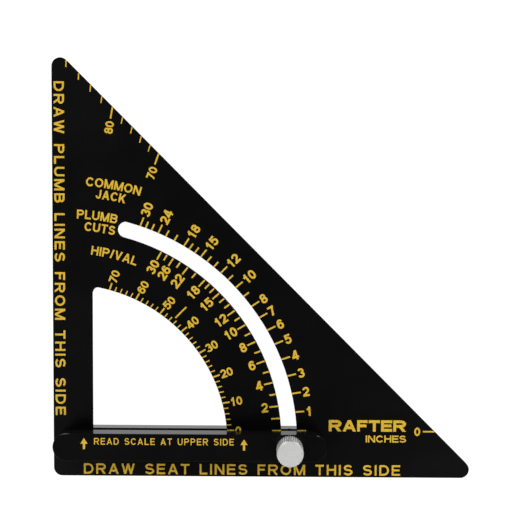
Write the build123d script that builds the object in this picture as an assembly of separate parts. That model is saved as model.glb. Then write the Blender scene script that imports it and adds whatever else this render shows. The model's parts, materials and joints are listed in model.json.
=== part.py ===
from build123d import *
import math
import os

# Adjustable layout square, in millimetres.
# Every piece is built in blade coordinates: the sharp heel corner that the two legs would meet in is
# the origin, the seat leg runs along +X, the plumb leg along +Y and the printed face is z = 0.
# The finished pieces are then shifted so that the origin is the bottom centre of the whole object.

# Blade
LEG = 176.0                 # length of each leg, measured to the sharp corner
CORNER_R = 3.5              # rounding of the three outer corners
BLADE_T = 3.3
EDGE_BREAK = 0.1            # small chamfer on every long edge of the blade
OVERALL = LEG - math.sqrt(2) * CORNER_R   # leg length as it measures over the rounded tip

# Pivot and fence
PIVOT_X = 6.15
PIVOT_Y = 13.6
FENCE_W = 11.1
FENCE_REACH = 100.5         # pivot centre to the centre of the far round end
FENCE_HEEL = 0.6            # pivot centre to the centre of the near round end
FRONT_BAR_T = 6.35
BACK_BAR_T = 5.3
BAR_GAP = 0.05              # running gap between each bar and the blade
BAR_EASE = 0.2              # rounded outer edges of the bars

# Arc window and arc slot, both centred on the pivot
WINDOW_LEFT = 15.65
WINDOW_BOTTOM = 12.7
WINDOW_R = 65.5
WINDOW_CORNER_R = 2.7
WINDOW_MIDDLE_DEG = 45
SLOT_R = 91.0
SLOT_W = 6.4
SLOT_START_DEG = -1.0
SLOT_END_DEG = 75.2

# Pivot screw
PIVOT_HOLE_R = 3.0
SHOULDER_R = 2.95
PIVOT_THREAD_R = 2.0
PIVOT_THREAD_DEPTH = 4.6
PIVOT_HEAD_R = 4.0
HEAD_RECESS = 0.1           # head sits this far below the outside of the back bar
HEX_ACROSS_FLATS = 3.0
HEX_DEPTH = 1.4
THREAD_GAP = 0.02           # gap left at threads and pressed seats that are drawn plain

# Clamp screw
STUD_R = 2.4
STUD_CLEAR = 0.05           # running gap round the stud
STUD_TIP_CHAMFER = 0.5
STUD_TIP_RECESS = 0.4
FRONT_BAR_HOLE_R = 2.6
INSERT_R = 3.6
INSERT_RECESS = 0.3
KNOB_R = 5.35
KNOB_H = 8.1
KNOB_GAP = 0.05
KNOB_BORE_DEPTH = 5.5
KNOB_TOP_CHAMFER = 0.45
KNOB_FOOT_CHAMFER = 0.3
KNURL_COUNT = 42
KNURL_DEPTH = 0.3

# Index notch in the inner top edge of the back bar, on the clamp axis
NOTCH_DEPTH = 1.1
NOTCH_R = 0.9
NOTCH_TILT_DEG = 45
NOTCH_SUNK_SHARE = 0.75     # share of the cone's depth that lies inside the edge

CUT_MARGIN = 1.0            # how far cutting tools run past the faces they cut

BLADE_BACK_Z = -BLADE_T
FRONT_BAR_Z = BAR_GAP
BACK_BAR_TOP_Z = BLADE_BACK_Z - BAR_GAP
BACK_BAR_BOTTOM_Z = BACK_BAR_TOP_Z - BACK_BAR_T
CLAMP_X = PIVOT_X + SLOT_R
KNOB_Z = FRONT_BAR_Z + FRONT_BAR_T + KNOB_GAP
FENCE_HALF_W = FENCE_W / 2

FRAME_SHIFT = Location((-OVERALL / 2, -OVERALL / 2, -BACK_BAR_BOTTOM_Z))


def polar(radius, degrees):
    """Point at this radius and angle about the pivot."""
    angle = math.radians(degrees)
    return (PIVOT_X + radius * math.cos(angle), PIVOT_Y + radius * math.sin(angle))


def disc(x, y, z, radius, height):
    """Upright cylinder standing on height z."""
    return Pos(x, y, z) * Cylinder(radius, height, align=(Align.CENTER, Align.CENTER, Align.MIN))


def taper(x, y, z, bottom_radius, top_radius, height):
    """Upright cone frustum standing on height z."""
    cone = Cone(bottom_radius, top_radius, height, align=(Align.CENTER, Align.CENTER, Align.MIN))
    return Pos(x, y, z) * cone


def outline_face():
    """Right-angled triangle with its three corners rounded."""
    triangle = make_face(Polyline((0, 0), (LEG, 0), (0, LEG), close=True))
    return fillet(triangle.vertices(), CORNER_R)


def window_face():
    """Cut-out bounded by a straight left wall, a straight bottom and an arc about the pivot."""
    left_top = PIVOT_Y + math.sqrt(WINDOW_R**2 - (WINDOW_LEFT - PIVOT_X) ** 2)
    right_x = PIVOT_X + math.sqrt(WINDOW_R**2 - (WINDOW_BOTTOM - PIVOT_Y) ** 2)
    heel = (WINDOW_LEFT, WINDOW_BOTTOM)
    top = (WINDOW_LEFT, left_top)
    right = (right_x, WINDOW_BOTTOM)
    middle = polar(WINDOW_R, WINDOW_MIDDLE_DEG)
    edges = Line(heel, right) + ThreePointArc(right, middle, top) + Line(top, heel)
    face = make_face(edges)
    return fillet(face.vertices(), WINDOW_CORNER_R)


def slot_face():
    """Arc slot with full-round ends."""
    inner_r = SLOT_R - SLOT_W / 2
    outer_r = SLOT_R + SLOT_W / 2
    middle_deg = (SLOT_START_DEG + SLOT_END_DEG) / 2
    half_w = SLOT_W / 2
    start_in = polar(inner_r, SLOT_START_DEG)
    start_out = polar(outer_r, SLOT_START_DEG)
    end_in = polar(inner_r, SLOT_END_DEG)
    end_out = polar(outer_r, SLOT_END_DEG)
    start_tip = polar(SLOT_R, SLOT_START_DEG)
    end_tip = polar(SLOT_R, SLOT_END_DEG)
    start_rad = math.radians(SLOT_START_DEG)
    end_rad = math.radians(SLOT_END_DEG)
    start_far = (start_tip[0] + half_w * math.sin(start_rad), start_tip[1] - half_w * math.cos(start_rad))
    end_far = (end_tip[0] - half_w * math.sin(end_rad), end_tip[1] + half_w * math.cos(end_rad))
    edges = (
        ThreePointArc(start_out, polar(outer_r, middle_deg), end_out)
        + ThreePointArc(end_out, end_far, end_in)
        + ThreePointArc(end_in, polar(inner_r, middle_deg), start_in)
        + ThreePointArc(start_in, start_far, start_out)
    )
    return make_face(edges)


def make_blade():
    """Flat triangular plate with the arc window, the arc slot and the pivot hole."""
    face = outline_face() - window_face() - slot_face()
    plate = Pos(0, 0, BLADE_BACK_Z) * extrude(face, BLADE_T)
    front_edges = plate.faces().sort_by(Axis.Z)[-1].edges()
    back_edges = plate.faces().sort_by(Axis.Z)[0].edges()
    plate = chamfer(front_edges + back_edges, EDGE_BREAK)
    hole_z = BLADE_BACK_Z - CUT_MARGIN
    return plate - disc(PIVOT_X, PIVOT_Y, hole_z, PIVOT_HOLE_R, BLADE_T + 2 * CUT_MARGIN)


def bar_blank(z, thickness):
    """Straight bar with full-round ends, the pivot just inside the left one."""
    slot_shape = SlotCenterToCenter(FENCE_REACH - FENCE_HEEL, FENCE_W)
    middle = PIVOT_X + (FENCE_REACH + FENCE_HEEL) / 2
    return Pos(middle, PIVOT_Y, z) * extrude(slot_shape, thickness)


def make_front_bar():
    """Bar over the printed face: plain outside, blind pivot thread, clearance hole for the stud."""
    bar = bar_blank(FRONT_BAR_Z, FRONT_BAR_T)
    bar = fillet(bar.faces().sort_by(Axis.Z)[-1].edges(), BAR_EASE)
    bar -= disc(PIVOT_X, PIVOT_Y, FRONT_BAR_Z - CUT_MARGIN, PIVOT_THREAD_R, PIVOT_THREAD_DEPTH + CUT_MARGIN)
    through = FRONT_BAR_T + 2 * CUT_MARGIN
    return bar - disc(CLAMP_X, PIVOT_Y, FRONT_BAR_Z - CUT_MARGIN, FRONT_BAR_HOLE_R, through)


def head_height():
    """Height of the 90 degree countersunk head."""
    return PIVOT_HEAD_R - SHOULDER_R


def index_notch():
    """Small conical notch cut down into the inner top edge of the back bar."""
    cone = Cone(0, NOTCH_R, NOTCH_DEPTH, align=(Align.CENTER, Align.CENTER, Align.MIN))
    edge = Pos(CLAMP_X, PIVOT_Y + FENCE_HALF_W, BACK_BAR_TOP_Z)
    return edge * Rot(-NOTCH_TILT_DEG, 0, 0) * Pos(0, 0, -NOTCH_DEPTH * NOTCH_SUNK_SHARE) * cone


def make_back_bar():
    """Bar behind the blade: countersunk pivot hole, bore for the insert, index notch."""
    bar = bar_blank(BACK_BAR_BOTTOM_Z, BACK_BAR_T)
    bar = fillet(bar.faces().sort_by(Axis.Z)[0].edges(), BAR_EASE)
    below = BACK_BAR_BOTTOM_Z - CUT_MARGIN
    through = BACK_BAR_T + 2 * CUT_MARGIN
    bar -= disc(PIVOT_X, PIVOT_Y, below, PIVOT_HOLE_R, through)
    seat_z = BACK_BAR_BOTTOM_Z + HEAD_RECESS
    slack = PIVOT_HOLE_R - SHOULDER_R
    bar -= taper(PIVOT_X, PIVOT_Y, seat_z, PIVOT_HEAD_R + slack, PIVOT_HOLE_R, head_height())
    bar -= disc(PIVOT_X, PIVOT_Y, below, PIVOT_HEAD_R + slack, CUT_MARGIN + HEAD_RECESS)
    bar -= disc(CLAMP_X, PIVOT_Y, below, INSERT_R, through)
    return bar - index_notch()


def make_pivot_screw():
    """Countersunk shoulder screw, put in from the back and threaded into the front bar."""
    seat_z = BACK_BAR_BOTTOM_Z + HEAD_RECESS
    screw = taper(PIVOT_X, PIVOT_Y, seat_z, PIVOT_HEAD_R, SHOULDER_R, head_height())
    shoulder_z = seat_z + head_height()
    screw += disc(PIVOT_X, PIVOT_Y, shoulder_z, SHOULDER_R, -shoulder_z)
    thread_length = FRONT_BAR_Z + PIVOT_THREAD_DEPTH - THREAD_GAP
    screw += disc(PIVOT_X, PIVOT_Y, 0, PIVOT_THREAD_R - THREAD_GAP, thread_length)
    hexagon = RegularPolygon(HEX_ACROSS_FLATS / 2, 6, major_radius=False)
    socket = Pos(PIVOT_X, PIVOT_Y, seat_z - CUT_MARGIN) * extrude(hexagon, HEX_DEPTH + CUT_MARGIN)
    return screw - socket


def make_insert():
    """Threaded sleeve pressed into the back bar; the thread is drawn as a plain bore."""
    z = BACK_BAR_BOTTOM_Z + INSERT_RECESS
    length = BACK_BAR_T - 2 * INSERT_RECESS
    sleeve = disc(CLAMP_X, PIVOT_Y, z, INSERT_R - THREAD_GAP, length)
    bore = disc(CLAMP_X, PIVOT_Y, z - CUT_MARGIN, STUD_R + STUD_CLEAR, length + 2 * CUT_MARGIN)
    return sleeve - bore


def make_stud():
    """Stud of the clamp screw, from inside the knob to just short of the outside of the back bar."""
    bottom = BACK_BAR_BOTTOM_Z + STUD_TIP_RECESS
    top = KNOB_Z + KNOB_BORE_DEPTH - STUD_CLEAR
    stud = disc(CLAMP_X, PIVOT_Y, bottom, STUD_R, top - bottom)
    return chamfer(stud.faces().sort_by(Axis.Z)[0].edges(), STUD_TIP_CHAMFER)


def knurl_face():
    """Circle with evenly spaced V grooves round it."""
    points = []
    for index in range(2 * KNURL_COUNT):
        radius = KNOB_R if index % 2 == 0 else KNOB_R - KNURL_DEPTH
        angle = math.pi * index / KNURL_COUNT
        points.append((radius * math.cos(angle), radius * math.sin(angle)))
    return make_face(Polyline(*points, close=True))


def make_knob():
    """Round clamp knob: straight-knurled side, flat face inside a chamfered rim, blind bore."""
    blank = Cylinder(KNOB_R, KNOB_H, align=(Align.CENTER, Align.CENTER, Align.MIN))
    blank = chamfer(blank.faces().sort_by(Axis.Z)[-1].edges(), KNOB_TOP_CHAMFER)
    blank = chamfer(blank.faces().sort_by(Axis.Z)[0].edges(), KNOB_FOOT_CHAMFER)
    knob = blank & extrude(knurl_face(), KNOB_H)
    knob = Pos(CLAMP_X, PIVOT_Y, KNOB_Z) * knob
    bore = disc(CLAMP_X, PIVOT_Y, KNOB_Z - CUT_MARGIN, STUD_R + STUD_CLEAR, KNOB_BORE_DEPTH + CUT_MARGIN)
    return knob - bore


PIECES = {
    "blade": make_blade,
    "fence_front_bar": make_front_bar,
    "fence_back_bar": make_back_bar,
    "pivot_screw": make_pivot_screw,
    "clamp_insert": make_insert,
    "clamp_stud": make_stud,
    "clamp_knob": make_knob,
}

os.makedirs("parts", exist_ok=True)
for node, make in PIECES.items():
    export_step(FRAME_SHIFT * make(), f"parts/{node}.step")
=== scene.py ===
import json
import math

import bmesh
import bpy
from mathutils import Matrix, Vector
from mathutils.geometry import delaunay_2d_cdt


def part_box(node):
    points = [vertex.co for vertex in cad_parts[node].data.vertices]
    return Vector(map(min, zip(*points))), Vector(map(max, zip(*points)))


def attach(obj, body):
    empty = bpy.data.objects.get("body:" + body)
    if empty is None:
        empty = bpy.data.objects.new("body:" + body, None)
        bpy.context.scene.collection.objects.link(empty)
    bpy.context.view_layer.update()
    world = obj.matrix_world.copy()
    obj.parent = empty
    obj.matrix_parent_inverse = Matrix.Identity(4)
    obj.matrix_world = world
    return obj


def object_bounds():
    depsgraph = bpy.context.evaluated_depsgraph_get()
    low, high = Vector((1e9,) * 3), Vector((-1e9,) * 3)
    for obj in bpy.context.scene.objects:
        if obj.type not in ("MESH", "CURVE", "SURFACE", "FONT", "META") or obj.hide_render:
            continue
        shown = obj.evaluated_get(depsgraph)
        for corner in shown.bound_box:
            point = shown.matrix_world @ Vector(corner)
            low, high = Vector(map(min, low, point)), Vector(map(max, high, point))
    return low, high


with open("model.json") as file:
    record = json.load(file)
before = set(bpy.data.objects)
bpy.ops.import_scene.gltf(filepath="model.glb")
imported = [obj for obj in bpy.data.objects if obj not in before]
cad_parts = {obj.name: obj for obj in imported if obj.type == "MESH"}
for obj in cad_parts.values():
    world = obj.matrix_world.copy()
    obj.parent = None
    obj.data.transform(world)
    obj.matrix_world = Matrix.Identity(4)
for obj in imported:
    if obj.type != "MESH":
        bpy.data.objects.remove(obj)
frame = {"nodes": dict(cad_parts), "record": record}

MM = 0.001
CAD_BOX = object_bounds()

# ---------------------------------------------------------------- sizes read from the frame

BLADE_LOW, BLADE_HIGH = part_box("blade")
BAR_LOW, BAR_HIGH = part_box("fence_front_bar")
KNOB_LOW, KNOB_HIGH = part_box("clamp_knob")
JOINTS = {joint["name"]: joint for joint in frame["record"]["behaviour"]["joints"]}
PIVOT = Vector(JOINTS["fence_swing"]["pos_m"])
PIVOT_X = (PIVOT.x - BLADE_LOW.x) / MM      # pivot from the blade's two legs, in millimetres
PIVOT_Y = (PIVOT.y - BLADE_LOW.y) / MM
CORNER_R = 3.5                              # rounding of the blade's tips
LEG = (BLADE_HIGH.x - BLADE_LOW.x) / MM + math.sqrt(2) * CORNER_R   # leg to its sharp corner
BAR_RADIUS = (BAR_HIGH.y - BAR_LOW.y) / 2
FACE_Z = BLADE_HIGH.z

# ---------------------------------------------------------------- other sizes, in millimetres

WINDOW_R = 65.5
SLOT_IN_R = 87.8
SLOT_OUT_R = 94.2
EDGE_BREAK = 0.1            # width of the chamfer on the blade's edges, which stays bare
BAR_EASE = 0.2              # rounding of the bars' edges
KNURL_DEPTH = 0.3
KNOB_CHAMFER = 0.45
INK_T = 0.03                # height of the ink above the metal
INK_SINK = 0.01             # how far an ink shape reaches into the metal


def layout(x, y, z=FACE_Z):
    """Point given in millimetres from the blade's sharp heel corner, as a point of the frame."""
    return Vector((BLADE_LOW.x + x * MM, BLADE_LOW.y + y * MM, z))


# ---------------------------------------------------------------- materials

# Fineness of the noise patterns, per metre
CLOUD_SCALE = 60.0          # slow change of tone over a centimetre or two
ETCH_SCALE = 5200.0
TURNED_SCALE = 3000.0
MOTTLE_SCALE = 900.0
FLOOR_SCALE = 40.0
NOISE_DETAIL = 2.0
DRAWN_STRETCH = (0.12, 1.0, 1.0)            # the bars' grain runs along their length

# Darkest and lightest tone of each pattern
PLATE_TONES = ((0.011, 0.011, 0.0115), (0.015, 0.0148, 0.0155))
BAR_TONES = ((0.0032, 0.0031, 0.0033), (0.0044, 0.0043, 0.0045))
INK_TONES = ((0.53, 0.325, 0.021), (0.655, 0.42, 0.032))
STEEL_TONES = ((0.30, 0.30, 0.31), (0.42, 0.42, 0.43))
BRASS_TONES = ((0.55, 0.38, 0.14), (0.66, 0.48, 0.20))
KNOB_FACE_TONES = ((0.69, 0.69, 0.68), (0.77, 0.77, 0.76))
# painted shade: the chamfer is a darker copy of the face's tone, which damps its highlight
KNOB_CHAMFER_SHADED_TONES = ((0.44, 0.44, 0.43), (0.5, 0.5, 0.49))
KNURL_SHADED_TONES = ((0.24, 0.24, 0.24), (0.68, 0.68, 0.67))      # painted shade: bottom of the grooves darker than their crests
FLOOR_TONES = ((0.1, 0.1, 0.1), (0.12, 0.12, 0.12))
RAMP_SPAN = (0.3, 0.7)                      # part of the noise over which the tone changes
KNURL_SPAN = (0.05, 0.9)

# Smoothest and roughest spot of each pattern
PLATE_ROUGHNESS = (0.38, 0.48)
BAR_ROUGHNESS = (0.16, 0.24)
INK_ROUGHNESS = (0.55, 0.7)
STEEL_ROUGHNESS = (0.29, 0.41)
BRASS_ROUGHNESS = (0.26, 0.38)
KNOB_ROUGHNESS = (0.36, 0.48)
FLOOR_ROUGHNESS = 0.9

# Relief of each pattern: depth in metres and strength
ETCH_RELIEF = (0.000004, 0.35)
INK_RELIEF = (0.00001, 0.4)
TURNED_RELIEF = (0.000006, 0.4)

PLATE_EDGE_TINT = (0.05, 0.05, 0.05, 1.0)   # the dyed sheet mirrors little even at a glancing angle
FRONT_SPECULAR = 0.14
BACK_SPECULAR = 0.34
EDGE_SPECULAR = 0.04
INK_SPECULAR = 0.25
KNOB_METALLIC = 0.45
KNOB_BLEND = 0.05           # millimetres over which the knob's finishes meet
FLOOR_GLOW = 1.0

# Painted highlights (glints) on the front bar's upper edge: direction from the round end's centre, and reach
# in millimetres
PAINTED_GLINT_TONE = (0.16, 0.16, 0.16, 1.0)
EDGE_BAND_FADE = 0.005            # millimetres of height over which the upper-edge band, with its duller specular and its painted glints, starts and stops
NEAR_SPOT_DEG = 96
NEAR_SPOT_REACH = 2.2
FAR_SPOT_DEG = 69
FAR_SPOT_REACH = 0.8

# Sockets of a colour Mix node, which can only be told apart by number
MIX_SHARE = 0
MIX_FIRST = 6
MIX_SECOND = 7
MIX_COLOUR = 2


def new_material(name):
    """Empty node material with a principled shader."""
    material = bpy.data.materials.new(name)
    material.use_nodes = True
    nodes = material.node_tree.nodes
    nodes.clear()
    output = nodes.new("ShaderNodeOutputMaterial")
    shader = nodes.new("ShaderNodeBsdfPrincipled")
    material.node_tree.links.new(shader.outputs["BSDF"], output.inputs["Surface"])
    return material, shader


def noise(material, scale, stretch=(1.0, 1.0, 1.0)):
    """Noise in object space; scale is per metre, stretch squeezes it along an axis."""
    nodes = material.node_tree.nodes
    links = material.node_tree.links
    coords = nodes.new("ShaderNodeTexCoord")
    mapping = nodes.new("ShaderNodeMapping")
    mapping.inputs["Scale"].default_value = stretch
    texture = nodes.new("ShaderNodeTexNoise")
    texture.inputs["Scale"].default_value = scale
    texture.inputs["Detail"].default_value = NOISE_DETAIL
    links.new(coords.outputs["Object"], mapping.inputs["Vector"])
    links.new(mapping.outputs["Vector"], texture.inputs["Vector"])
    return texture.outputs["Fac"]


def ramp(material, source, tones, span=RAMP_SPAN):
    """Colour that goes from the first tone to the second as a socket crosses the span."""
    node = material.node_tree.nodes.new("ShaderNodeValToRGB")
    for element, position, tone in zip(node.color_ramp.elements, span, tones):
        element.position = position
        element.color = (*tone, 1.0)
    material.node_tree.links.new(source, node.inputs["Fac"])
    return node.outputs["Color"]


def grain(material, shader, source, roughness, relief):
    """Roughness and relief of a surface, both following one pattern."""
    links = material.node_tree.links
    smoothest, roughest = roughness
    links.new(ramp(material, source, ((smoothest,) * 3, (roughest,) * 3)), shader.inputs["Roughness"])
    depth, strength = relief
    node = material.node_tree.nodes.new("ShaderNodeBump")
    node.inputs["Distance"].default_value = depth
    node.inputs["Strength"].default_value = strength
    links.new(source, node.inputs["Height"])
    links.new(node.outputs["Normal"], shader.inputs["Normal"])


def share_of(material, source, start, end, first=0.0, last=1.0):
    """How far a socket's value has got from start to end, given as a value from first to last."""
    node = material.node_tree.nodes.new("ShaderNodeMapRange")
    node.inputs["From Min"].default_value = start
    node.inputs["From Max"].default_value = end
    node.inputs["To Min"].default_value = first
    node.inputs["To Max"].default_value = last
    material.node_tree.links.new(source, node.inputs["Value"])
    return node.outputs["Result"]


def blend(material, share, first, second):
    """Colour that goes from the first socket's to the second's with share."""
    node = material.node_tree.nodes.new("ShaderNodeMix")
    node.data_type = "RGBA"
    links = material.node_tree.links
    links.new(share, node.inputs[MIX_SHARE])
    links.new(first, node.inputs[MIX_FIRST])
    links.new(second, node.inputs[MIX_SECOND])
    return node.outputs[MIX_COLOUR]


def multiply(material, first, second):
    """Product of two sockets."""
    node = material.node_tree.nodes.new("ShaderNodeMath")
    node.operation = "MULTIPLY"
    material.node_tree.links.new(first, node.inputs[0])
    material.node_tree.links.new(second, node.inputs[1])
    return node.outputs["Value"]


def place_sockets(material):
    """Sockets of a surface point's place in the object and of its height there."""
    nodes = material.node_tree.nodes
    coords = nodes.new("ShaderNodeTexCoord")
    split = nodes.new("ShaderNodeSeparateXYZ")
    material.node_tree.links.new(coords.outputs["Object"], split.inputs["Vector"])
    return coords.outputs["Object"], split.outputs["Z"]


def make_dyed_plate():
    """Black dyed aluminium sheet: a very dark metal with an etched grain and no sheen at its edges."""
    material, shader = new_material("anodised_plate")
    tone = ramp(material, noise(material, CLOUD_SCALE), PLATE_TONES)
    material.node_tree.links.new(tone, shader.inputs["Base Color"])
    grain(material, shader, noise(material, ETCH_SCALE), PLATE_ROUGHNESS, ETCH_RELIEF)
    shader.inputs["Metallic"].default_value = 1.0
    shader.inputs["Specular Tint"].default_value = PLATE_EDGE_TINT
    return material


def make_dyed_bar(name, specular):
    """Black anodised bar: smoother than the sheet, with a drawn grain along its length."""
    material, shader = new_material(name)
    tone = ramp(material, noise(material, CLOUD_SCALE), BAR_TONES)
    material.node_tree.links.new(tone, shader.inputs["Base Color"])
    grain(material, shader, noise(material, ETCH_SCALE, DRAWN_STRETCH), BAR_ROUGHNESS, ETCH_RELIEF)
    shader.inputs["Specular IOR Level"].default_value = specular
    return material, shader


def bar_shoulder(end_x, turn_deg):
    """Place on the upper rim of the front bar's round end, this far round from the right."""
    turn = math.radians(turn_deg)
    middle_y = (BAR_LOW.y + BAR_HIGH.y) / 2
    return end_x + BAR_RADIUS * math.cos(turn), middle_y + BAR_RADIUS * math.sin(turn), BAR_HIGH.z


def make_front_bar():
    """Dyed bar whose upper edge is duller, with a painted highlight (glint) at a spot on each round end."""
    material, shader = make_dyed_bar("anodised_front_bar", FRONT_SPECULAR)
    nodes = material.node_tree.nodes
    links = material.node_tree.links
    place, height = place_sockets(material)
    foot = BAR_HIGH.z - BAR_EASE * MM
    above_side = share_of(material, height, foot, foot + EDGE_BAND_FADE * MM)
    below_top = share_of(material, height, BAR_HIGH.z, BAR_HIGH.z - EDGE_BAND_FADE * MM)
    edge = multiply(material, above_side, below_top)
    links.new(share_of(material, edge, 0.0, 1.0, FRONT_SPECULAR, EDGE_SPECULAR),
              shader.inputs["Specular IOR Level"])
    colour = shader.inputs["Base Color"].links[0].from_socket
    # painted highlight: a lighter base colour blended in at one spot on each round end's upper edge
    painted_glint = nodes.new("ShaderNodeRGB")
    painted_glint.outputs["Color"].default_value = PAINTED_GLINT_TONE
    near_spot = bar_shoulder(BAR_LOW.x + BAR_RADIUS, NEAR_SPOT_DEG)
    far_spot = bar_shoulder(BAR_HIGH.x - BAR_RADIUS, FAR_SPOT_DEG)
    for spot, reach in ((near_spot, NEAR_SPOT_REACH), (far_spot, FAR_SPOT_REACH)):
        distance = nodes.new("ShaderNodeVectorMath")
        distance.operation = "DISTANCE"
        distance.inputs[1].default_value = spot
        links.new(place, distance.inputs[0])
        near = share_of(material, distance.outputs["Value"], reach * MM, 0.0)
        colour = blend(material, multiply(material, edge, near), colour, painted_glint.outputs["Color"])
    links.new(colour, shader.inputs["Base Color"])
    return material


def make_ink():
    """Screen-printed amber ink with a little thickness variation."""
    material, shader = new_material("print_amber")
    mottle = noise(material, MOTTLE_SCALE)
    material.node_tree.links.new(ramp(material, mottle, INK_TONES), shader.inputs["Base Color"])
    grain(material, shader, mottle, INK_ROUGHNESS, INK_RELIEF)
    shader.inputs["Specular IOR Level"].default_value = INK_SPECULAR
    return material


def make_turned(name, tones, roughness):
    """Turned metal with a fine grain in its tone, roughness and surface."""
    material, shader = new_material(name)
    turned = noise(material, TURNED_SCALE)
    material.node_tree.links.new(ramp(material, turned, tones), shader.inputs["Base Color"])
    grain(material, shader, turned, roughness, TURNED_RELIEF)
    shader.inputs["Metallic"].default_value = 1.0
    return material


def make_knob_metal():
    """Satin aluminium: bright face, with painted shade on the chamfer and knurl, darkest at the bottom of
    the grooves.
    """
    material, shader = new_material("satin_aluminium")
    nodes = material.node_tree.nodes
    links = material.node_tree.links
    middle = (KNOB_LOW + KNOB_HIGH) / 2
    outside = (KNOB_HIGH.x - KNOB_LOW.x) / 2
    place, height = place_sockets(material)
    centred = nodes.new("ShaderNodeMapping")
    centred.inputs["Scale"].default_value = (1.0, 1.0, 0.0)
    centred.inputs["Location"].default_value = (-middle.x, -middle.y, 0.0)
    links.new(place, centred.inputs["Vector"])
    radius = nodes.new("ShaderNodeVectorMath")
    radius.operation = "LENGTH"
    links.new(centred.outputs["Vector"], radius.inputs[0])
    turned = noise(material, TURNED_SCALE)
    # painted shade: the knurl darkens from its crests to the bottom of its grooves
    crest = share_of(material, radius.outputs["Value"], outside - KNURL_DEPTH * MM, outside)
    knurl = ramp(material, crest, KNURL_SHADED_TONES, KNURL_SPAN)
    face = ramp(material, turned, KNOB_FACE_TONES)
    chamfer = ramp(material, turned, KNOB_CHAMFER_SHADED_TONES)
    face_edge = outside - KNOB_CHAMFER * MM
    past_face = share_of(material, radius.outputs["Value"], face_edge - KNOB_BLEND * MM, face_edge)
    chamfer_foot = KNOB_HIGH.z - KNOB_CHAMFER * MM
    above_knurl = share_of(material, height, chamfer_foot, chamfer_foot + KNOB_BLEND * MM)
    top = blend(material, past_face, face, chamfer)
    links.new(blend(material, above_knurl, knurl, top), shader.inputs["Base Color"])
    grain(material, shader, turned, KNOB_ROUGHNESS, TURNED_RELIEF)
    shader.inputs["Metallic"].default_value = KNOB_METALLIC
    return material


INK = make_ink()
BACK_BAR, _ = make_dyed_bar("anodised_back_bar", BACK_SPECULAR)
STEEL = make_turned("turned_steel", STEEL_TONES, STEEL_ROUGHNESS)
NODE_MATERIALS = {
    "blade": make_dyed_plate(),
    "fence_front_bar": make_front_bar(),
    "fence_back_bar": BACK_BAR,
    "pivot_screw": STEEL,
    "clamp_insert": make_turned("turned_brass", BRASS_TONES, BRASS_ROUGHNESS),
    "clamp_stud": STEEL,
    "clamp_knob": make_knob_metal(),
}

for node_name, node_material in NODE_MATERIALS.items():
    node_object = frame["nodes"][node_name]
    if not node_object.material_slots:
        node_object.data.materials.append(node_material)
    for material_slot in node_object.material_slots:
        material_slot.material = node_material

# ---------------------------------------------------------------- stroke alphabet
# Each glyph is a width over cap height and its strokes. Points run from 0 to 1 across the glyph's box.
# A "bar" is an upright or level stroke with square ends. A "leg" is a slanting stroke: an end at
# height 0 or 1 is cut level with the foot or the top of the letters, any other end is left square.
# A "pen" stroke follows its points and ends square to its path.

BOW_STEP_DEG = 12           # turn from one point of a curved stroke to the next
BOW_LEAST_STEPS = 4


def bow(cx, cy, rx, ry, first, last):
    """Points along part of an ellipse, angles in degrees."""
    steps = max(BOW_LEAST_STEPS, round(abs(last - first) / BOW_STEP_DEG))
    angles = [math.radians(first + (last - first) * step / steps) for step in range(steps + 1)]
    return [(cx + rx * math.cos(angle), cy + ry * math.sin(angle)) for angle in angles]


def ring(cx, cy, rx, ry):
    """Closed ellipse as two overlapping pen strokes."""
    return (("pen", bow(cx, cy, rx, ry, 75, 285)), ("pen", bow(cx, cy, rx, ry, -105, 105)))


STEM = ("bar", [(0, 0), (0, 1)])
RIGHT_STEM = ("bar", [(1, 0), (1, 1)])
MIDDLE_STEM = ("bar", [(0.5, 0), (0.5, 1)])
TOP_BAR = ("bar", [(0, 1), (1, 1)])
FOOT_BAR = ("bar", [(0, 0), (1, 0)])
P_BOWL = ("pen", [(0, 1), (0.5, 1), *bow(0.6, 0.735, 0.4, 0.265, 90, -90), (0.5, 0.47), (0, 0.47)])
B_TOP = ("pen", [(0, 1), (0.5, 1), *bow(0.58, 0.765, 0.37, 0.235, 90, -90), (0, 0.53)])
B_FOOT = ("pen", [(0, 0.53), (0.5, 0.53), *bow(0.62, 0.265, 0.38, 0.265, 90, -90), (0, 0)])
D_BOWL = ("pen", [(0, 1), (0.4, 1), *bow(0.46, 0.5, 0.54, 0.5, 90, -90), (0.4, 0), (0, 0)])
U_BOWL = ("pen", [(0, 1.12), (0, 0.6), *bow(0.5, 0.32, 0.5, 0.32, 180, 360), (1, 0.6), (1, 1.12)])
S_CURVE = ("pen", [*bow(0.5, 0.76, 0.46, 0.24, 20, 250), *bow(0.5, 0.26, 0.5, 0.26, 70, -162)])
FLAG = ("pen", [(-0.03, 0.71), (0.18, 0.75), (0.37, 0.84), (0.51, 0.95)])

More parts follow.
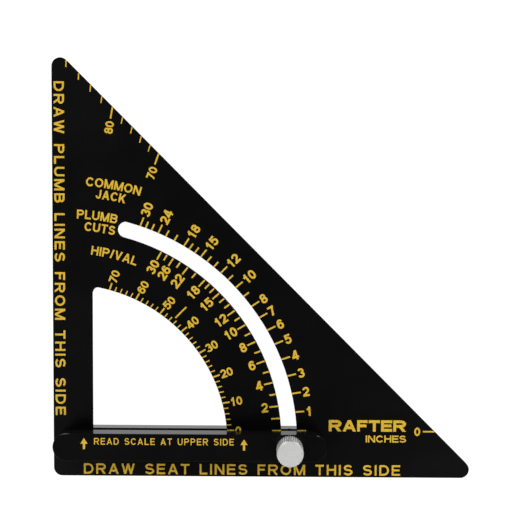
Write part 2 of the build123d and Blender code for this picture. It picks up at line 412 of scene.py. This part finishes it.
GLYPHS = {
    "0": (0.7, ring(0.5, 0.5, 0.5, 0.5)),
    "1": (0.64, (("bar", [(0.6, 0), (0.6, 1)]), FLAG)),
    "2": (0.7, (("pen", [*bow(0.5, 0.7, 0.5, 0.3, 172, -36), (0.28, 0.18), (0.08, 0)]), FOOT_BAR)),
    "3": (0.7, (("pen", bow(0.48, 0.755, 0.45, 0.245, 165, -95)),
                ("pen", bow(0.48, 0.265, 0.52, 0.265, 95, -165)))),
    "4": (0.74, (("bar", [(0.76, 0), (0.76, 1)]), ("leg", [(0.7, 1), (0.02, 0.3)]),
                 ("bar", [(0, 0.24), (1, 0.24)]))),
    "5": (0.7, (("bar", [(0.2, 1), (0.94, 1)]), ("leg", [(0.15, 1), (0.06, 0.46)]),
                ("pen", [(0.07, 0.5), *bow(0.46, 0.33, 0.54, 0.33, 135, -162)]))),
    "6": (0.7, (*ring(0.5, 0.31, 0.5, 0.31), ("pen", bow(0.56, 0.46, 0.56, 0.54, 190, 38)))),
    "7": (0.68, (TOP_BAR, ("leg", [(1, 1), (0.24, 0)]))),
    "8": (0.7, (*ring(0.5, 0.765, 0.44, 0.235), *ring(0.5, 0.265, 0.5, 0.265))),
    "A": (0.76, (("leg", [(0, 0), (0.5, 1)]), ("leg", [(1, 0), (0.5, 1)]),
                 ("bar", [(0.25, 0.27), (0.75, 0.27)]))),
    "B": (0.69, (STEM, B_TOP, B_FOOT)),
    "C": (0.74, (("pen", bow(0.52, 0.5, 0.52, 0.5, 36, 324)),)),
    "D": (0.72, (STEM, D_BOWL)),
    "E": (0.63, (STEM, TOP_BAR, FOOT_BAR, ("bar", [(0, 0.52), (0.9, 0.52)]))),
    "F": (0.59, (STEM, TOP_BAR, ("bar", [(0, 0.5), (0.86, 0.5)]))),
    "H": (0.7, (STEM, RIGHT_STEM, ("bar", [(0, 0.53), (1, 0.53)]))),
    "I": (0.0, (MIDDLE_STEM,)),
    "J": (0.55, (("pen", [(1, 1.12), (1, 0.4), *bow(0.5, 0.3, 0.5, 0.3, 0, -175)]),)),
    "K": (0.72, (STEM, ("leg", [(0.92, 1), (0.02, 0.3)]), ("leg", [(0.34, 0.6), (1, 0)]))),
    "L": (0.58, (STEM, FOOT_BAR)),
    "M": (0.84, (STEM, RIGHT_STEM, ("leg", [(0, 1), (0.5, 0)]), ("leg", [(1, 1), (0.5, 0)]))),
    "N": (0.72, (STEM, RIGHT_STEM, ("leg", [(0, 1), (1, 0)]))),
    "O": (0.79, ring(0.5, 0.5, 0.5, 0.5)),
    "P": (0.67, (STEM, P_BOWL)),
    "R": (0.72, (STEM, P_BOWL, ("leg", [(0.5, 0.5), (1, 0)]))),
    "S": (0.68, (S_CURVE,)),
    "T": (0.64, (TOP_BAR, MIDDLE_STEM)),
    "U": (0.7, (U_BOWL,)),
    "V": (0.7, (("leg", [(0, 1), (0.5, 0)]), ("leg", [(1, 1), (0.5, 0)]))),
    "W": (1.0, (("leg", [(0, 1), (0.25, 0)]), ("leg", [(0.5, 1), (0.25, 0)]),
                ("leg", [(0.5, 1), (0.75, 0)]), ("leg", [(1, 1), (0.75, 0)]))),
    "/": (0.34, (("leg", [(0, 0), (1, 1)]),)),
}
SPACE_W = 0.36
LEG_PASSES = 5              # rounds of the search for a slanting stroke's level width
SHARPEST_TURN = 0.5         # limits how far a stroke's outline runs out at a corner


def ribbon(points, half):
    """Closed outline of a pen stroke: the path offset by half its width on both sides."""
    left = []
    right = []
    last = len(points) - 1
    for index, point in enumerate(points):
        before = Vector(points[max(index - 1, 0)])
        after = Vector(points[min(index + 1, last)])
        here = Vector(point)
        first = (here - before).normalized() if index > 0 else (after - here).normalized()
        second = (after - here).normalized() if index < last else first
        along = (first + second).normalized()
        reach = half / max(along.dot(first), SHARPEST_TURN)
        side = Vector((-along.y, along.x)) * reach
        left.append(tuple(here + side))
        right.append(tuple(here - side))
    return right + left[::-1]


def lengthened(points, before, after):
    """A two-point stroke made longer at its first and its last end."""
    first = Vector(points[0])
    last = Vector(points[1])
    along = (last - first).normalized()
    return [tuple(first - along * before), tuple(last + along * after)]


def trim(outline, level, keep_above):
    """Part of a convex outline above or below a level."""
    kept = []
    for index, (x, y) in enumerate(outline):
        next_x, next_y = outline[(index + 1) % len(outline)]
        inside = y >= level if keep_above else y <= level
        next_inside = next_y >= level if keep_above else next_y <= level
        if inside:
            kept.append((x, y))
        if inside != next_inside:
            share = (level - y) / (next_y - y)
            kept.append((x + (next_x - x) * share, level))
    return kept


def leg_outline(points, width, pen):
    """Outline of a slanting stroke inside a glyph box of this width."""
    (first_u, first_v), (last_u, last_v) = points
    rise = last_v - first_v
    half = pen / 2
    reach = half
    for _ in range(LEG_PASSES):
        run = (last_u - first_u) * (width - 2 * reach)
        reach = half * math.hypot(run, rise) / abs(rise)
    placed = [(reach + u * (width - 2 * reach), v) for u, v in points]
    extra = [pen if v in (0, 1) else 0.0 for u, v in points]
    return trim(trim(ribbon(lengthened(placed, *extra), half), 0.0, True), 1.0, False)


def glyph_outlines(character, width, pen):
    """Outlines of one glyph in cap-height units; pen is the stroke width."""
    half = pen / 2
    outlines = []
    for kind, points in GLYPHS[character][1]:
        placed = [(half + u * (width - pen), half + v * (1 - pen)) for u, v in points]
        if kind == "pen":
            outlines.append(ribbon([(x, min(y, 1.0)) for x, y in placed], half))
        elif kind == "bar":
            outlines.append(ribbon(lengthened(placed, half, half), half))
        else:
            outlines.append(leg_outline(points, width, pen))
    return outlines


def line_widths(text, pen, widen):
    """Width of every character of a line; widen stretches the glyphs but not their strokes."""
    own = [SPACE_W if character == " " else GLYPHS[character][0] for character in text]
    return [max(width * widen, pen) for width in own]


def line_outlines(text, pen, gap, widen):
    """Outlines of a whole line of text and its total width, in cap-height units."""
    glyphs = []
    cursor = 0.0
    for character, width in zip(text, line_widths(text, pen, widen)):
        if character != " ":
            outlines = glyph_outlines(character, width, pen)
            glyphs.append([[(x + cursor, y) for x, y in outline] for outline in outlines])
        cursor += width + gap
    return glyphs, cursor - gap


def widen_to_fit(text, pen, gap, total):
    """Stretch of the glyphs that makes a line of text this long."""
    natural = line_widths(text, pen, 1.0)
    fixed = sum(width for width in natural if width <= pen) + gap * (len(text) - 1)
    return (total - fixed) / sum(width for width in natural if width > pen)


# ---------------------------------------------------------------- ink shapes

MERGE_MM = 0.0005           # outline points closer than this become one


def add_ink(target, outlines, top):
    """Joins overlapping outlines of layout points into one thin closed ink shape."""
    points = []
    faces = []
    for outline in outlines:
        faces.append(list(range(len(points), len(points) + len(outline))))
        points.extend(Vector(point) for point in outline)
    corners, _, triangles, _, _, sources = delaunay_2d_cdt(points, [], faces, 1, MERGE_MM, True)
    inked = [triangle for triangle, source in zip(triangles, sources) if source]
    used = sorted({index for triangle in inked for index in triangle})
    order = {index: rank for rank, index in enumerate(used)}
    flat = [layout(corners[index].x, corners[index].y, top + INK_T * MM) for index in used]
    depth = Vector((0.0, 0.0, (INK_T + INK_SINK) * MM))
    high = [target.verts.new(point) for point in flat]
    low = [target.verts.new(point - depth) for point in flat]
    rim = set()
    for triangle in inked:
        a, b, c = (order[index] for index in triangle)
        target.faces.new((high[a], high[b], high[c]))
        target.faces.new((low[c], low[b], low[a]))
        for start, end in ((a, b), (b, c), (c, a)):
            if (end, start) in rim:
                rim.remove((end, start))
            else:
                rim.add((start, end))
    for start, end in sorted(rim):
        target.faces.new((high[end], high[start], low[start], low[end]))


def straight_text(target, text, start, angle_deg, width, height, top, pen, gap):
    """Text of this width on a straight baseline that starts at this layout point."""
    widen = widen_to_fit(text, pen / height, gap, width / height)
    glyphs, _ = line_outlines(text, pen / height, gap, widen)
    along = Vector((math.cos(math.radians(angle_deg)), math.sin(math.radians(angle_deg)))) * height
    across = Vector((-along.y, along.x))
    for glyph in glyphs:
        placed = [[Vector(start) + along * x + across * y for x, y in outline] for outline in glyph]
        add_ink(target, placed, top)


def arc_text(target, text, base_r, start_deg, end_deg, height, top, pen, gap):
    """Text on an arc about the pivot, read clockwise from start_deg to end_deg."""
    middle_r = base_r + height / 2
    length = math.radians(abs(end_deg - start_deg)) * middle_r / height
    widen = widen_to_fit(text, pen / height, gap, length)
    glyphs, total = line_outlines(text, pen / height, gap, widen)
    for glyph in glyphs:
        placed = []
        for outline in glyph:
            bent = []
            for x, y in outline:
                angle = math.radians(start_deg + (end_deg - start_deg) * x / total)
                radius = base_r + y * height
                bent.append((PIVOT_X + radius * math.cos(angle), PIVOT_Y + radius * math.sin(angle)))
            placed.append(bent)
        add_ink(target, placed, top)


# ---------------------------------------------------------------- scales, in millimetres

READ_OFFSET = 5.6           # the scales are read at the fence's guide edge, this far from the pivot
MARK_W = 0.64
THIN_MARK_W = 0.47          # short marks of the two angle scales
RISE_PEN = 0.81             # stroke width of the rise numbers
ANGLE_PEN = 0.7             # stroke width of the angle numbers
ANGLE_WIDEN = 1.0
RISE_WIDEN = 0.975          # the rise numbers are a little narrower than the angle numbers
NUMBER_GAP = 0.05           # gap between digits, as a share of their height
NUMBER_DROP = 0.06          # numbers sit this far below the line of their mark


def read_point(angle_deg, along, across=0.0):
    """Layout point on the guide-edge line of a reading: this far along it, and across it."""
    angle = math.radians(angle_deg)
    side = READ_OFFSET + across
    x = PIVOT_X + along * math.cos(angle) - side * math.sin(angle)
    y = PIVOT_Y + along * math.sin(angle) + side * math.cos(angle)
    return x, y


def along_at_radius(radius):
    """Distance along a guide-edge line to the point at this radius from the pivot."""
    return math.sqrt(radius**2 - READ_OFFSET**2)


def mark(target, angle_deg, start, end, width=MARK_W):
    """One scale mark along a reading's guide-edge line."""
    half = width / 2
    outline = (
        read_point(angle_deg, start, -half),
        read_point(angle_deg, end, -half),
        read_point(angle_deg, end, half),
        read_point(angle_deg, start, half),
    )
    add_ink(target, [outline], FACE_Z)


def number(target, value, angle_deg, start, height, pen, widen, stop_at=False):
    """A number that reads outwards along the guide-edge line, from start or, if asked, up to it."""
    text = str(value)
    width = line_outlines(text, pen / height, NUMBER_GAP, widen)[1] * height
    if stop_at:
        start -= width
    corner = read_point(angle_deg, start, -height / 2 - NUMBER_DROP)
    straight_text(target, text, corner, angle_deg, width, height, FACE_Z, pen, NUMBER_GAP)


# Angle scale round the window: every 2 degrees, numbered every 10
ANGLE_LAST = 70
ANGLE_STEP = 2
ANGLE_NUMBERED = 10
ANGLE_LONG = 2.95
ANGLE_SHORT = 1.9
ANGLE_NUMBER_AT = 68.7
ANGLE_DIGIT_H = 3.5
TRUE_ANGLE = 45
TRUE_ANGLE_START = 67.9
TRUE_ANGLE_END = 74.2


def angle_scale():
    """Marks and numbers outwards from the window's arc, with a separate line at 45 degrees."""
    bm = bmesh.new()
    start = along_at_radius(WINDOW_R + EDGE_BREAK)
    for angle in range(0, ANGLE_LAST + 1, ANGLE_STEP):
        if angle % ANGLE_NUMBERED == 0:
            mark(bm, angle, start, start + ANGLE_LONG)
            number(bm, angle, angle, ANGLE_NUMBER_AT, ANGLE_DIGIT_H, ANGLE_PEN, ANGLE_WIDEN)
        else:
            mark(bm, angle, start, start + ANGLE_SHORT, THIN_MARK_W)
    mark(bm, TRUE_ANGLE, TRUE_ANGLE_START, TRUE_ANGLE_END)
    return bm


# Rise scales at the slot: angles whose tangent is rise over run
RISES = (*range(0, 19), 20, 22, 24, 26, 28, 30)
RISE_DIGIT_H = 3.93
COMMON_RUN = 12
COMMON_NUMBERED = (1, 2, 3, 4, 5, 6, 7, 8, 10, 12, 15, 18, 24, 30)
COMMON_NUMBER_AT = 98.6
COMMON_LONG = 3.7
COMMON_SHORT = 2.7
HIP_RUN = 17
HIP_NUMBERED = (2, 4, 6, 8, 10, 12, 15, 18, 22, 26, 30)
HIP_LONG_MARKS = (0, 1, *HIP_NUMBERED)
HIP_NUMBER_END = 83.3
HIP_LONG = 3.6
HIP_SHORT = 2.55


def rise_angle(rise, run):
    """Slope angle in degrees."""
    return math.degrees(math.atan2(rise, run))


def common_scale():
    """Rise per 12 of run, outwards from the slot."""
    bm = bmesh.new()
    start = along_at_radius(SLOT_OUT_R + EDGE_BREAK)
    for rise in RISES:
        angle = rise_angle(rise, COMMON_RUN)
        long_mark = rise in COMMON_NUMBERED or rise == 0
        mark(bm, angle, start, start + (COMMON_LONG if long_mark else COMMON_SHORT))
        if rise in COMMON_NUMBERED:
            number(bm, rise, angle, COMMON_NUMBER_AT, RISE_DIGIT_H, RISE_PEN, RISE_WIDEN)
    return bm


def hip_scale():
    """Rise per 17 of run, inwards from the slot."""
    bm = bmesh.new()
    end = along_at_radius(SLOT_IN_R - EDGE_BREAK)
    for rise in RISES:
        angle = rise_angle(rise, HIP_RUN)
        mark(bm, angle, end - (HIP_LONG if rise in HIP_LONG_MARKS else HIP_SHORT), end)
        if rise in HIP_NUMBERED:
            number(bm, rise, angle, HIP_NUMBER_END, RISE_DIGIT_H, RISE_PEN, RISE_WIDEN, stop_at=True)
    return bm


# Scale along the long edge: every 2 degrees from 70 to 88, and 0
LONG_EDGE_FIRST = 70
LONG_EDGE_LAST = 88
LONG_EDGE_STEP = 2
LONG_EDGE_LONG = 4.7
LONG_EDGE_SHORT = 2.7
LONG_EDGE_GAP = 1.1
LONG_EDGE_DIGIT_H = 3.5


def along_to_long_edge(angle_deg):
    """Distance along a guide-edge line to the blade's long edge."""
    angle = math.radians(angle_deg)
    base_x, base_y = read_point(angle_deg, 0.0)
    clear = LEG - EDGE_BREAK * math.sqrt(2) - base_x - base_y
    return clear / (math.cos(angle) + math.sin(angle))


def long_edge_scale():
    """Marks inwards from the long edge."""
    bm = bmesh.new()
    for angle in (0, *range(LONG_EDGE_FIRST, LONG_EDGE_LAST + 1, LONG_EDGE_STEP)):
        end = along_to_long_edge(angle)
        if angle % ANGLE_NUMBERED == 0:
            start = end - LONG_EDGE_LONG
            mark(bm, angle, start, end)
            number(bm, angle, angle, start - LONG_EDGE_GAP, LONG_EDGE_DIGIT_H, ANGLE_PEN, ANGLE_WIDEN,
                   stop_at=True)
        else:
            mark(bm, angle, end - LONG_EDGE_SHORT, end, THIN_MARK_W)
    return bm


# ---------------------------------------------------------------- words, in millimetres

# Scale names on arcs about the pivot: text, baseline radius, first and last angle
ARC_LABELS = (
    ("COMMON", 105.9, 85.9, 73.8),
    ("JACK", 101.3, 83.5, 76.6),
    ("PLUMB", 92.5, 87.6, 77.5),
    ("CUTS", 87.7, 85.5, 77.4),
    ("HIP/VAL", 78.3, 83.0, 69.2),
)
ARC_LABEL_H = 3.65
ARC_LABEL_PEN = 0.69
ARC_LABEL_GAP = 0.13

# Straight lines on the blade: text, start, direction, width, height, stroke width, gap between letters
BLADE_LINES = (
    ("DRAW PLUMB LINES FROM THIS SIDE", (0.87, 161.4), -90, 136.2, 4.2, 0.79, 0.28),
    ("DRAW SEAT LINES FROM THIS SIDE", (12.4, 0.8), 0, 130.4, 4.35, 0.77, 0.26),
    ("RAFTER", (113.3, 19.1), 0, 31.7, 4.7, 1.15, 0.1),
    ("INCHES", (128.5, 14.6), 0, 16.6, 2.9, 0.57, 0.12),
)

# Note on the front bar, in the same order, and the arrow at each end of it
FENCE_LINE = ("READ SCALE AT UPPER SIDE", (18.1, 14.75), 0, 56.5, 2.7, 0.4, 0.24)
ARROW_TIP_H = 4.5
ARROW_HEAD_FOOT = 2.2
ARROW_HEAD_HALF = 1.45
ARROW_STEM_HALF = 0.45
ARROWS_AT = ((14.03, 12.9), (78.7, 12.75))


def scale_names():
    """Names of the scales, above and below the end of the slot."""
    bm = bmesh.new()
    for text, radius, first, last in ARC_LABELS:
        arc_text(bm, text, radius, first, last, ARC_LABEL_H, FACE_Z, ARC_LABEL_PEN, ARC_LABEL_GAP)
    return bm


def edge_notes():
    """The two sentences along the legs and the words at the right."""
    bm = bmesh.new()
    for text, start, direction, width, height, pen, gap in BLADE_LINES:
        straight_text(bm, text, start, direction, width, height, FACE_Z, pen, gap)
    return bm


def arrow(target, x, y, top):
    """Arrow that points up, its foot in the middle at this layout point."""
    right_side = (
        (ARROW_STEM_HALF, 0.0),
        (ARROW_STEM_HALF, ARROW_HEAD_FOOT),
        (ARROW_HEAD_HALF, ARROW_HEAD_FOOT),
    )
    left_side = [(-dx, dy) for dx, dy in reversed(right_side)]
    add_ink(target, [[(x + dx, y + dy) for dx, dy in (*right_side, (0.0, ARROW_TIP_H), *left_side)]], top)


def fence_note():
    """Reading note and two arrows on the front bar."""
    bm = bmesh.new()
    text, start, direction, width, height, pen, gap = FENCE_LINE
    straight_text(bm, text, start, direction, width, height, BAR_HIGH.z, pen, gap)
    for x, y in ARROWS_AT:
        arrow(bm, x, y, BAR_HIGH.z)
    return bm


def new_piece(name, bm, body):
    """Finished ink piece from a bmesh, riding on a body."""
    bmesh.ops.recalc_face_normals(bm, faces=bm.faces)
    mesh = bpy.data.meshes.new(name)
    bm.to_mesh(mesh)
    bm.free()
    mesh.materials.append(INK)
    piece = bpy.data.objects.new(name, mesh)
    bpy.context.scene.collection.objects.link(piece)
    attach(piece, body)


new_piece("print_angle_scale", angle_scale(), "blade")
new_piece("print_common_scale", common_scale(), "blade")
new_piece("print_hip_scale", hip_scale(), "blade")
new_piece("print_long_edge_scale", long_edge_scale(), "blade")
new_piece("print_scale_names", scale_names(), "blade")
new_piece("print_edge_notes", edge_notes(), "blade")
new_piece("print_fence_note", fence_note(), "fence")

# ---------------------------------------------------------------- floor, light and camera, in metres

FLOOR_HALF = 3.0
FLOOR_DROP = 0.0002         # gap under the object

SOFTBOX_TURNS = (40, 130, 220, 310)
SOFTBOX_DISTANCE = 1.1
SOFTBOX_HEIGHT = 0.62
SOFTBOX_SIZE = 0.7
SOFTBOX_POWER = 9.0

HORIZON_TONE = (0.8, 0.8, 0.8, 1.0)
CEILING_TONE = (0.02, 0.02, 0.02, 1.0)
CEILING_START = 0.2         # height of a direction's arrow where the pale horizon starts to fade
CEILING_END = 0.55

# The camera looks down on the blade, a little above its middle; millimetres from the sharp heel corner
CAMERA_FROM = (88.9, 100.15, 312.8)
CAMERA_AT = (86.78, 87.41)
CAMERA_ROLL_DEG = 0.26
CAMERA_LENS = 52.15
CAMERA_SENSOR = 36.0
CAMERA_NEAREST = 0.01


def make_floor():
    """Large pale floor that glows a little, like a light table."""
    material, shader = new_material("pale_floor")
    tone = ramp(material, noise(material, FLOOR_SCALE), FLOOR_TONES)
    material.node_tree.links.new(tone, shader.inputs["Base Color"])
    shader.inputs["Roughness"].default_value = FLOOR_ROUGHNESS
    shader.inputs["Emission Color"].default_value = (1.0, 1.0, 1.0, 1.0)
    shader.inputs["Emission Strength"].default_value = FLOOR_GLOW
    bm = bmesh.new()
    bmesh.ops.create_grid(bm, x_segments=1, y_segments=1, size=FLOOR_HALF)
    mesh = bpy.data.meshes.new("floor")
    bm.to_mesh(mesh)
    bm.free()
    mesh.materials.append(material)
    floor = bpy.data.objects.new("floor", mesh)
    floor.location = (0.0, 0.0, CAD_BOX[0].z - FLOOR_DROP)
    bpy.context.scene.collection.objects.link(floor)


def make_softbox(name, turn_deg):
    """Square softbox aimed at the middle of the object."""
    light = bpy.data.lights.new(name, "AREA")
    light.shape = "SQUARE"
    light.size = SOFTBOX_SIZE
    light.energy = SOFTBOX_POWER
    turn = math.radians(turn_deg)
    holder = bpy.data.objects.new(name, light)
    holder.location = (SOFTBOX_DISTANCE * math.cos(turn), SOFTBOX_DISTANCE * math.sin(turn), SOFTBOX_HEIGHT)
    holder.rotation_euler = (-holder.location).to_track_quat("-Z", "Y").to_euler()
    bpy.context.scene.collection.objects.link(holder)


def make_world():
    """Pale surroundings near the horizon under a dark ceiling."""
    world = bpy.data.worlds.new("studio")
    world.use_nodes = True
    nodes = world.node_tree.nodes
    links = world.node_tree.links
    nodes.clear()
    output = nodes.new("ShaderNodeOutputWorld")
    background = nodes.new("ShaderNodeBackground")
    coords = nodes.new("ShaderNodeTexCoord")
    split = nodes.new("ShaderNodeSeparateXYZ")
    shade = nodes.new("ShaderNodeValToRGB")
    horizon, ceiling = shade.color_ramp.elements
    horizon.position = CEILING_START
    horizon.color = HORIZON_TONE
    ceiling.position = CEILING_END
    ceiling.color = CEILING_TONE
    links.new(coords.outputs["Generated"], split.inputs["Vector"])
    links.new(split.outputs["Z"], shade.inputs["Fac"])
    links.new(shade.outputs["Color"], background.inputs["Color"])
    links.new(background.outputs["Background"], output.inputs["Surface"])
    bpy.context.scene.world = world


def make_camera():
    """Camera nearly square-on above the printed face."""
    data = bpy.data.cameras.new("camera")
    data.lens = CAMERA_LENS
    data.sensor_width = CAMERA_SENSOR
    data.clip_start = CAMERA_NEAREST
    camera = bpy.data.objects.new("camera", data)
    from_x, from_y, from_height = CAMERA_FROM
    position = layout(from_x, from_y, FACE_Z + from_height * MM)
    forward = (layout(*CAMERA_AT) - position).normalized()
    right = forward.cross(Vector((0.0, 1.0, 0.0))).normalized()
    up = right.cross(forward)
    basis = Matrix((right, up, -forward)).transposed().to_4x4()
    roll = Matrix.Rotation(math.radians(CAMERA_ROLL_DEG), 4, "Z")
    camera.matrix_world = Matrix.Translation(position) @ basis @ roll
    bpy.context.scene.collection.objects.link(camera)
    bpy.context.scene.camera = camera


make_floor()
for softbox_index, softbox_turn in enumerate(SOFTBOX_TURNS):
    make_softbox(f"softbox_{softbox_index}", softbox_turn)
make_world()
make_camera()
bpy.context.scene.view_settings.view_transform = "Standard"
